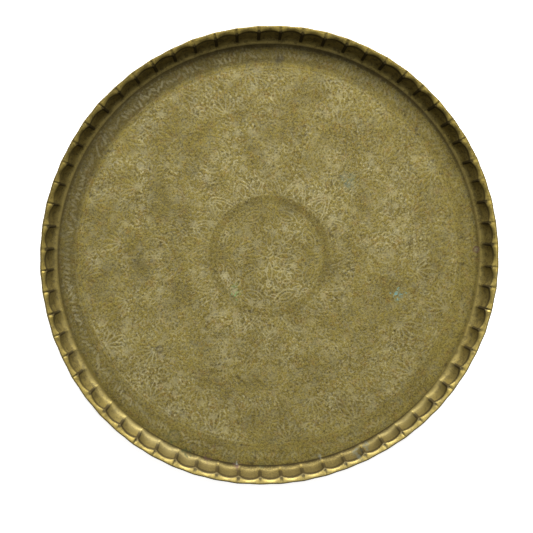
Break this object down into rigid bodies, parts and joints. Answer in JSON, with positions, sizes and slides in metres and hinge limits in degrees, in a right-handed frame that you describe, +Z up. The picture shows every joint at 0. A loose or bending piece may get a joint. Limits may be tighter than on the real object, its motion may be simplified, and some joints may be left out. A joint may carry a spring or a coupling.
{
  "type": "serving tray",
  "caption": "Large round engraved brass tray with a low fluted wall and a creased lip turned down round a steel stiffening wire.",
  "frame": {"origin": "centre of the floor's underside, which is the plane the tray rests on", "axes": "+Z up out of the open side of the tray, along its axis; the middle of a flute of the fluted wall lies on +X"},
  "size_m": [0.759, 0.759, 0.026],
  "materials": {
    "brass_sheet": "aged brass, matt olive-brown patina, engraved on top, hammered below",
    "rim_steel": "dull iron wire, lightly rusted"
  },
  "bodies": {
    "root": {"tray_sheet": "brass_sheet", "rim_wire": "rim_steel"}
  },
  "joints": []
}
